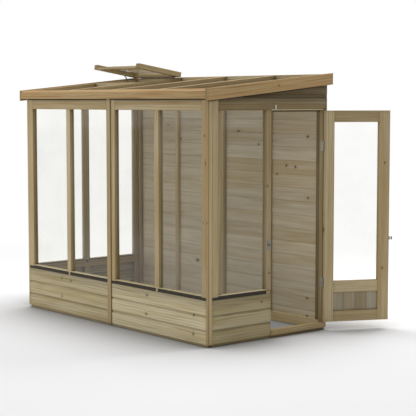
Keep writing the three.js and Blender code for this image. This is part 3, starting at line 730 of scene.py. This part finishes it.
def rightEnd():
    stile = (rightLow.y, rightPane[0] - doorway["bead"])
    post = (rightPane[1], lowEnd)
    hinge = (hingeFrom, rightHigh.y)
    inner = (stile[1], hinge[1])
    low = (rightLow.y, lowEnd)
    step = sillHigh.z
    lath = (headLow, headLow + doorway["lath"])
    stop = doorway["stop"]
    deep = doorway["stopDeep"]
    foot = (middleOf(post) - doorway["footWide"] / 2, middleOf(post) + doorway["footWide"] / 2)
    columns = [low[0] + nail["fromEnd"], low[1] - nail["fromEnd"]]

    def piece(title, *shape, **more):
        wallTimber(f"right_end_{title}", ("right_end_frame",), "right", *shape, **more)

    piece("stile", stile, full, (slotTop, plate), "z", "trimWood")
    piece("bead", (stile[1], rightPane[0]), (doorway["beadBack"], wall["depth"]), (sillTop, headLow), "z")
    piece("middle_post", post, full, (slotTop, headLow), "z")
    piece("hinge_post", hinge, full, (step, headLow), "z")
    piece("hinge_foot", hinge, behind, (0, step), "z")
    piece("head", inner, full, (lath[1], headTop), "y", soft="joint")
    piece("window_lath", (stile[1], post[1]), full, lath, "y", soft="lath")
    piece("door_lath", (post[1], hinge[0]), full, lath, "y", "sillWood", soft="lath")
    piece("hinge_lath", hinge, full, lath, "y", soft="lath")
    piece("wall_plate", inner, full, (headTop, plate), "y", soft="joint", shade=plateShade)
    piece("sill", (stile[1], post[0]), full, (shadowStripTop, sillTop), "y", "sillWood", soft="joint")
    sillShadowStrip("right_end", "right", low)
    piece("foot", foot, full, (boardsTop, shadowStripTop), "z", "trimWood", soft="lath")
    lowFrame("right_end", "right", low, [stile, post])
    piece("latch_stop", (post[1] - stop, post[1] + stop), (deep[0] + doorway["latchIn"], deep[1]),
          (step, headLow), "z", soft="joint")
    piece("head_stop", (post[1] + stop, hinge[0]), deep, (headLow - stop, headLow), "y", soft="joint")
    boards("right_end", "right", low, boardsTop, "boardWood", columns)


def threshold():
    part = newPart()
    middle = faceAt("right", wall["boardThick"])
    inner = faceAt("right", wall["depth"])
    bottom = boardsLow.z
    addBox(part, (middle, sillLow.y, bottom), sillHigh, "y", seedOf("threshold"))
    addBox(part, (inner, sillLow.y, bottom), (middle, hingeFrom, sillHigh.z), "y", seedOf("thresholdInner"))
    addBox(part, (inner, sillLow.y, 0.0), (middle, hingeFrom, bottom), "y", seedOf("thresholdFoot"))
    finishPart(part, "door_threshold_timber", "trimWood", ("door_threshold",))


rightEnd()
threshold()
print("right end built")


# Back wall: boards outside, studs and rails inside

stud = {"wide": 0.033, "sole": 0.075, "head": 0.045, "leftShift": 0.020}
backTop = backHigh.z
for panel, run in {"back_left": (backLow.x, 0.0), "back_right": (0.0, -backLow.x)}.items():
    node = (f"{panel}_frame",)
    middle = middleOf(run) - (stud["leftShift"] if panel == "back_left" else 0.0)
    half = stud["wide"] / 2
    ends = (run[0] + stud["wide"], run[1] - stud["wide"])
    posts = [(run[0], ends[0]), (middle - half, middle + half), (ends[1], run[1])]
    for i, post in enumerate(posts):
        height = (stud["sole"], backTop - stud["head"])
        wallTimber(f"{panel}_stud_{i + 1}", node, "back", post, behind, height, "z")
    wallTimber(f"{panel}_sole", node, "back", run, behind, (0, stud["sole"]), "x")
    wallTimber(f"{panel}_head", node, "back", run, behind, (backTop - stud["head"], backTop), "x")
    boards(panel, "back", run, backTop, "backWood", [middleOf(post) for post in posts])
print("back wall built")


# Roof: drawn level, then leaned to its slope

roof = {"slope": 0.1, "frontLip": 0.017, "surroundWide": 0.040, "cheek": 0.012, "barTop": 0.008,
        "barTall": 0.058}
eavesStrip = {"tall": 0.009, "deep": 0.004, "proud": 0.0006, "soft": 0.0004}
eavesLow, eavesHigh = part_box("roof_front_fascia")
barSpan = (-roof["barTop"] - roof["barTall"], -roof["barTop"])


def roofTop(y):
    return eavesHigh.z + roof["slope"] * (y - eavesLow.y)


def lean(point):
    return Vector((point.x, point.y, point.z + roofTop(point.y)))


def roofTimbers():
    for name in ("edge_bar_left", "bar_left", "bar_middle", "bar_right", "edge_bar_right"):
        node = "roof_" + name
        low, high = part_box(node)
        timber(node + "_timber", (node,), (low.x, low.y, barSpan[0]), (high.x, high.y, barSpan[1]), "y",
               "trimWood", place=lean)
    for node in ("roof_left_fascia", "roof_right_fascia"):
        low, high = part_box(node)
        timber(node + "_timber", (node,), (low.x, low.y, low.z - eavesHigh.z), (high.x, high.y, 0.0), "y",
               "fasciaWood", "fascia", lean, slot="fascia")
    lip = roof["frontLip"]
    outline = [
        (eavesLow.y, eavesLow.z), (eavesHigh.y, eavesLow.z), (eavesHigh.y, eavesHigh.z),
        (eavesLow.y + lip, eavesHigh.z), (eavesLow.y, eavesHigh.z - lip),
    ]
    part = newPart()
    addSolid(part, prism(outline, "x", (eavesLow.x, eavesHigh.x)), "x", seedOf("eaves"), arris["round"])
    finishPart(part, "roof_front_fascia_timber", "fasciaWood", ("roof_front_fascia",), slot="fascia")
    eavesShadowStrip()
    timber("roof_back_timber", ("roof_back_board",), *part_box("roof_back_board"), "x", "trimWood", slot="trim")
    surround()


def eavesShadowStrip():  # painted shadow: a dark strip in the gap under the fascias, seen as the shadow line there
    tall, soft = eavesStrip["tall"], eavesStrip["soft"]
    face = sides["front"]["face"]
    part = newPart()
    addBox(part, (frontLow.x, faceAt("front", -eavesStrip["proud"]), eavesLow.z - tall),
           (-frontLow.x, faceAt("front", eavesStrip["deep"]), eavesLow.z), "x", 0.0, soft)
    for side in ("left", "right"):
        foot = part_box(f"roof_{side}_fascia")[0].z - eavesHigh.z
        a, b = sorted((faceAt(side, -eavesStrip["proud"]), faceAt(side, eavesStrip["deep"])))
        addBox(part, (a, face, foot - tall), (b, backLow.y, foot), "y", 0.0, soft, lean)
    finishPart(part, "eaves_shadow_strip", "shadow_strip")


def surround():  # the lining round the vent's opening
    low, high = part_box("vent_surround")
    wide, cheek = roof["surroundWide"], roof["cheek"]
    shapes = {
        "front": ((low.x, high.x), (low.y, low.y + wide), "x", "plain"),
        "rear": ((low.x, high.x), (high.y - wide, high.y), "x", "plain"),
        "left": ((low.x, low.x + cheek), (low.y + wide, high.y - wide), "y", "joint"),
        "right": ((high.x - cheek, high.x), (low.y + wide, high.y - wide), "y", "joint"),
    }
    for name, (x, y, long, soft) in shapes.items():
        timber(f"vent_surround_{name}", ("vent_surround",), *zip(x, y, barSpan), long, soft=soft, place=lean)


# A gable has two boards: the lower one's scooped top goes under the wedge
# The gable tones are low: painted shade under the roof's overhang
gable = {"foot": 0.006, "sunk": 0.005, "board": 0.0235, "dark": 0.6, "gain": 0.5, "over": 0.04,
         "tones": {"left": (0.5, 0.5), "right": (0.43, 0.6)}}


def gableBoards(side, tone):
    low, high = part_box(f"{side}_gable_board")
    outer, sunk, inner = (faceAt(side, depth) for depth in (0, gable["sunk"], wall["boardThick"]))
    under = roofTop(low.y) - roof["barTop"] - roof["barTall"]
    foot, top = low.z + gable["foot"], low.z + gable["board"]
    cove = top - shiplap["lip"] * 2

    def meets(z):  # where the roof's underside reaches this height
        return low.y + (z - under) / roof["slope"]

    def eavesShade(point):  # painted shade: darkest right under the roof
        below = under + roof["slope"] * (point.y - low.y) - point.z
        return gable["dark"] + gable["gain"] * min(1.0, max(0.0, below) / gable["over"])

    part = newPart()
    seed = seedOf(side + "gable")
    strip = [(low.y, low.z), (high.y, low.z), (high.y, foot), (meets(foot), foot), (low.y, under)]
    addSolid(part, prism(strip, "x", sorted((sunk, inner))), "y", seed, tone=tone)
    body = [(meets(foot), foot), (high.y, foot), (high.y, cove), (meets(cove), cove)]
    addSolid(part, prism(body, "x", (low.x, high.x)), "y", seed, arris["joint"], tone=tone, shade=eavesShade)
    slanted = [(outer, cove), (sunk, top), (inner, top), (inner, cove)]
    addSolid(part, prism(slanted, "y", (meets(top), high.y)), "y", seed, tone=tone)
    wedge = [(meets(top), top), (high.y, top), (high.y, high.z)]
    addSolid(part, prism(wedge, "x", (low.x, high.x)), "y", seedOf(side + "wedge"), arris["joint"], tone=tone,
             shade=eavesShade)
    finishPart(part, f"{side}_gable_cladding", "frameWood", (f"{side}_gable_board",))


roofTimbers()
for side, tone in gable["tones"].items():
    gableBoards(side, tone)
print("roof built")


# Roof vent: drawn shut and level on its hinge line, then tilted as photographed

ventPin = Vector(joints["vent_hinge"]["pos_m"])
ventTilt = math.atan(roof["slope"]) + math.radians(joints["vent_hinge"]["range_deg"][0])
vent = {"rail": 0.053, "cross": 0.050, "low": (0.001, 0.019), "tall": (0.001, 0.043),
        "run": (-0.458, -0.004)}


def tilted(point):
    turned = Matrix.Rotation(ventTilt, 3, "X") @ point
    return Vector((turned.x, turned.y + ventPin.y, turned.z + ventPin.z))


def ventTimbers():
    low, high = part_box("vent_frame")
    run, rail, cross = vent["run"], vent["rail"], vent["cross"]
    inner = (low.x + rail, high.x - rail)
    shapes = {
        "left": ((low.x, inner[0]), run, vent["tall"], "y", "round"),
        "right": ((inner[1], high.x), run, vent["tall"], "y", "round"),
        "front": (inner, (run[0], run[0] + cross), vent["low"], "x", "plain"),
        "rear": (inner, (run[1] - cross, run[1]), vent["low"], "x", "plain"),
    }
    for name, (x, y, z, long, soft) in shapes.items():
        timber(f"vent_rail_{name}", ("vent_frame",), *zip(x, y, z), long, soft=soft, place=tilted,
               body="vent")


ventTimbers()
print("vent built")


# Door: drawn shut with its pin at the origin, then swung as photographed

doorPin = Vector(joints["door_hinge"]["pos_m"])
doorSwing = -math.radians(joints["door_hinge"]["range_deg"][0])
door = {
    "thick": 0.036, "edge": 0.002, "play": 0.009, "pinOut": 0.005, "hingeStile": 0.074, "freeStile": 0.089,
    "groove": 0.008, "panelBack": 0.012, "panelThick": 0.012, "panelSoft": 0.0025,
    "panelTones": [(0.62, 0.3), (0.66, 0.6), (0.6, 0.8), (0.67, 0.2)],
    "knots": [(1.289, 0.040, 0.005), (0.475, 0.053, 0.005)],  # height, from the free edge, radius
}
leafLow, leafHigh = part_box("door_hinge_stile")
leafWide = sillHigh.y - sillLow.y - (rightHigh.y - hingeFrom) - door["play"]
spots["door_free_stile"] = [(z, at - door["edge"] - leafWide, radius) for z, at, radius in door["knots"]]
doorRails = {name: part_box(f"door_{name}") for name in ("bottom_rail", "middle_rail", "top_rail")}


def swung(point):
    turned = Matrix.Rotation(doorSwing, 3, "Z") @ point
    return Vector((turned.x + doorPin.x, turned.y + doorPin.y, turned.z))


def leafBox(run, depth, height):  # a run from the hinge edge, a depth from the outer face
    x = [-door["pinOut"] - at for at in reversed(depth)]
    y = [-door["edge"] - at for at in reversed(run)]
    return list(zip(x, y, height))


def doorTimber(name, run, height, long, *wood):
    box = leafBox(run, (0, door["thick"]), height)
    timber(f"door_{name}_timber", (f"door_{name}",), *box, long, *wood, soft="round", place=swung,
           body="door")


def doorLeaf():
    inner = (door["hingeStile"], leafWide - door["freeStile"])
    whole = (leafLow.z, leafHigh.z)
    doorTimber("hinge_stile", (0, inner[0]), whole, "z")
    doorTimber("free_stile", (inner[1], leafWide), whole, "z", "trimWood")
    for name, (low, high) in doorRails.items():
        doorTimber(name, inner, (low.z, high.z), "y")
    doorPanel(inner)


def doorPanel(inner):  # upright boards with a sunk joint between them
    height = (doorRails["bottom_rail"][1].z - door["groove"], doorRails["middle_rail"][0].z + door["groove"])
    depth = (door["panelBack"], door["panelBack"] + door["panelThick"])
    wide = (inner[1] - inner[0] + 2 * door["groove"]) / len(door["panelTones"])
    part = newPart()
    for i, tone in enumerate(door["panelTones"]):
        start = inner[0] - door["groove"] + i * wide
        box = leafBox((start, start + wide), depth, height)
        addBox(part, *box, "z", seedOf(f"doorPanel{i}"), door["panelSoft"], swung, tone=tone)
    finishPart(part, "door_panel_boards", "backWood", ("door_panel",), "door", "boarding")


doorLeaf()
print("door built")


# Hardware keeps its solids, with softened edges, and gets its screws

screw = {"radius": 0.0035, "tall": 0.0008, "flush": 0.0001, "cross": 0.0036, "blade": 0.0009, "rise": 1.05}
hingeScrew = {"fromPin": 0.018, "proud": 0.0002, "shares": (0.16, 0.5, 0.84)}
catch = {"inset": 0.007, "plate": 0.002, "buttonUp": 0.007}
hardware = {
    "brightZinc": ["turn_button", "vent_hinge_fixed_leaf", "vent_hinge_moving_leaf", "vent_stay",
                   "vent_stay_bracket"],
    "dullZinc": [f"{at}_hinge_{on}_leaf" for at in ("lower", "upper") for on in ("door", "jamb")],
    "greyZinc": ["hasp_staple"],
    "darkZinc": ["hasp_strap", "hasp_plate"],
}
softWidth = 0.0004


def addScrew(part, middle, normal, place, tall):
    addDisc(part, middle, normal, screw["radius"], tall, place)
    for long, short in ((screw["cross"], screw["blade"]), (screw["blade"], screw["cross"])):
        x, y = long / 2, short / 2
        work = prism([(-x, -y), (x, -y), (x, y), (-x, y)], "z", (0.0, tall * screw["rise"]))
        for vert in work.verts:
            vert.co = Vector(middle) + turnTo(normal) @ vert.co
        addSolid(part, work, "x", 0.0, place=place, slots=(1, 1))


def screws(name, middles, normal, body="greenhouse", place=None, tall=screw["tall"]):
    part = newPart()
    for middle in middles:
        addScrew(part, middle, normal, place, tall)
    finishPart(part, name, "screws", body=body, slot="zinc")


def dressHardware():
    for finish, names in hardware.items():
        for name in names:
            for slot in nodes[name].material_slots:
                slot.material = metals[finish]
            soft = nodes[name].modifiers.new("softEdges", "BEVEL")
            soft.width = softWidth
            soft.segments = 2
            soft.limit_method = "ANGLE"
    for name, node in nodes.items():
        if "pane" in name.split("_"):
            for slot in node.material_slots:
                slot.material = dustyGlass if name.startswith("vent") else clearGlass


def hingeScrews():
    away, proud = hingeScrew["fromPin"], hingeScrew["proud"]
    for name in ("lower", "upper"):
        low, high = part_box(f"{name}_hinge_jamb_leaf")
        heights = [low.z + share * (high.z - low.z) for share in hingeScrew["shares"]]
        screws(f"{name}_hinge_jamb_screws", [(doorPin.x - away, doorPin.y + proud, z) for z in heights],
               (0, -1, 0), tall=screw["flush"])
        screws(f"{name}_hinge_door_screws", [(-away, -proud, z) for z in heights], (0, 1, 0), "door", swung,
               screw["flush"])


def catchScrews():
    low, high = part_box("hasp_staple")
    inset = catch["inset"]
    corners = [(y, z) for y in (low.y + inset, high.y - inset) for z in (low.z + inset, high.z - inset)]
    x = faceAt("right", -catch["plate"])
    screws("hasp_staple_screws", [(x, y, z) for y, z in corners], (1, 0, 0))
    low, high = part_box("turn_button")
    screws("turn_button_screw", [(high.x, (low.y + high.y) / 2, low.z + catch["buttonUp"])], (1, 0, 0),
           "turn_button")


dressHardware()
hingeScrews()
catchScrews()
print("hardware dressed")


# Stage, light and camera

stage = {"middle": (0.2, -0.6), "fade": (2.2, 6.5), "reach": 60.0, "sky": 0.36, "floor": "e9e9ea",
         "indoorShade": "b4b5b9", "indoors": ((0.0, 1.19), (-0.57, 0.56)), "indoorShadeEdge": 0.05, "shadeReach": 0.9}


def makeFloor():
    material, tree, shader = newMaterial("studioFloor")
    place = split(objectPlace(tree))
    away = distance(*(minus(place[i], stage["middle"][i]) for i in range(2)))
    gaps = [minus(half, calc("ABSOLUTE", minus(place[i], middle)))
            for i, (middle, half) in enumerate(stage["indoors"])]
    indoors = fade(calc("MINIMUM", *gaps), 0.0, stage["indoorShadeEdge"])
    # painted shade: the floor inside the house is set darker
    color = blendColor(indoors, tint(stage["floor"]), tint(stage["indoorShade"]))
    # painted shadow: outdoors, the floor darkens near the house
    deep = addNode(tree, "AmbientOcclusion", {"Distance": stage["shadeReach"]}, samples=16).outputs["AO"]
    color = darken(color, calc("MAXIMUM", fade(deep, 0.3, 1.0, 0.3, 1.0), indoors))
    feed(shader, {"Base Color": color, "Roughness": 0.9, "Specular IOR Level": 0.1})
    seen = addNode(tree, "LightPath").outputs["Is Camera Ray"]
    glow = addNode(tree, "Emission", {"Color": (1, 1, 1, 1), "Strength": 1.0}).outputs[0]
    amount = times(seen, fade(away, *stage["fade"]))  # far off it melts into white
    mixed = addNode(tree, "MixShader", {0: amount, 1: shader.outputs[0], 2: glow}).outputs[0]
    feed(findNode(tree, "OUTPUT_MATERIAL"), {"Surface": mixed})
    mesh = bpy.data.meshes.new("floor")
    r = stage["reach"]
    mesh.from_pydata([(-r, -r, 0), (r, -r, 0), (r, r, 0), (-r, r, 0)], [], [(0, 1, 2, 3)])
    mesh.materials.append(material)
    floor = bpy.data.objects.new("floor", mesh)
    bpy.context.scene.collection.objects.link(floor)


def makeWorld():  # white to the eye and in reflections, dimmer as a light
    world = bpy.data.worlds.new("studio")
    bpy.context.scene.world = world
    world.use_nodes = True
    tree = world.node_tree
    path = addNode(tree, "LightPath").outputs
    seen = calc("MAXIMUM", path["Is Camera Ray"], path["Is Transmission Ray"])
    seen = calc("MAXIMUM", seen, path["Is Glossy Ray"])
    strength = fade(seen, 0.0, 1.0, stage["sky"], 1.0)
    feed(findNode(tree, "BACKGROUND"), {"Color": (1, 1, 1, 1), "Strength": strength})


lampAim = (0.0, -0.6, 0.9)
lamps = {
    "top": {"at": (0.0, -0.6, 8.0), "size": 5.0, "power": 310.0},
    "back": {"at": (1.0, 5.0, 7.0), "size": 5.0, "power": 400.0},
    "left": {"at": (-4.0, 0.0, 7.0), "size": 4.0, "power": 155.0},
    "front": {"at": (-3.0, -7.0, 2.0), "size": 4.0, "power": 118.0},
}


def addLamp(name, look):
    data = bpy.data.lights.new(name, "AREA")
    data.shape = "SQUARE"
    data.size = look["size"]
    data.energy = look["power"]
    lamp = bpy.data.objects.new(name, data)
    lamp.location = look["at"]
    aim = Vector(lampAim) - Vector(look["at"])
    lamp.rotation_euler = aim.to_track_quat("-Z", "Y").to_euler()
    bpy.context.scene.collection.objects.link(lamp)


view = {"at": (8.01454, -6.8157, 1.76423), "azimuth": 50.27, "elevation": 4.88, "lens": 108.69}


def makeCamera():
    data = bpy.data.cameras.new("camera")
    data.sensor_width = 36.0
    data.lens = view["lens"]
    camera = bpy.data.objects.new("camera", data)
    camera.location = view["at"]
    camera.rotation_euler = (math.radians(90 - view["elevation"]), 0, math.radians(view["azimuth"]))
    bpy.context.scene.collection.objects.link(camera)
    bpy.context.scene.camera = camera


makeFloor()
makeWorld()
for name, look in lamps.items():
    addLamp(name, look)
makeCamera()
bpy.context.scene.view_settings.view_transform = "Standard"
print("stage, light and camera set")
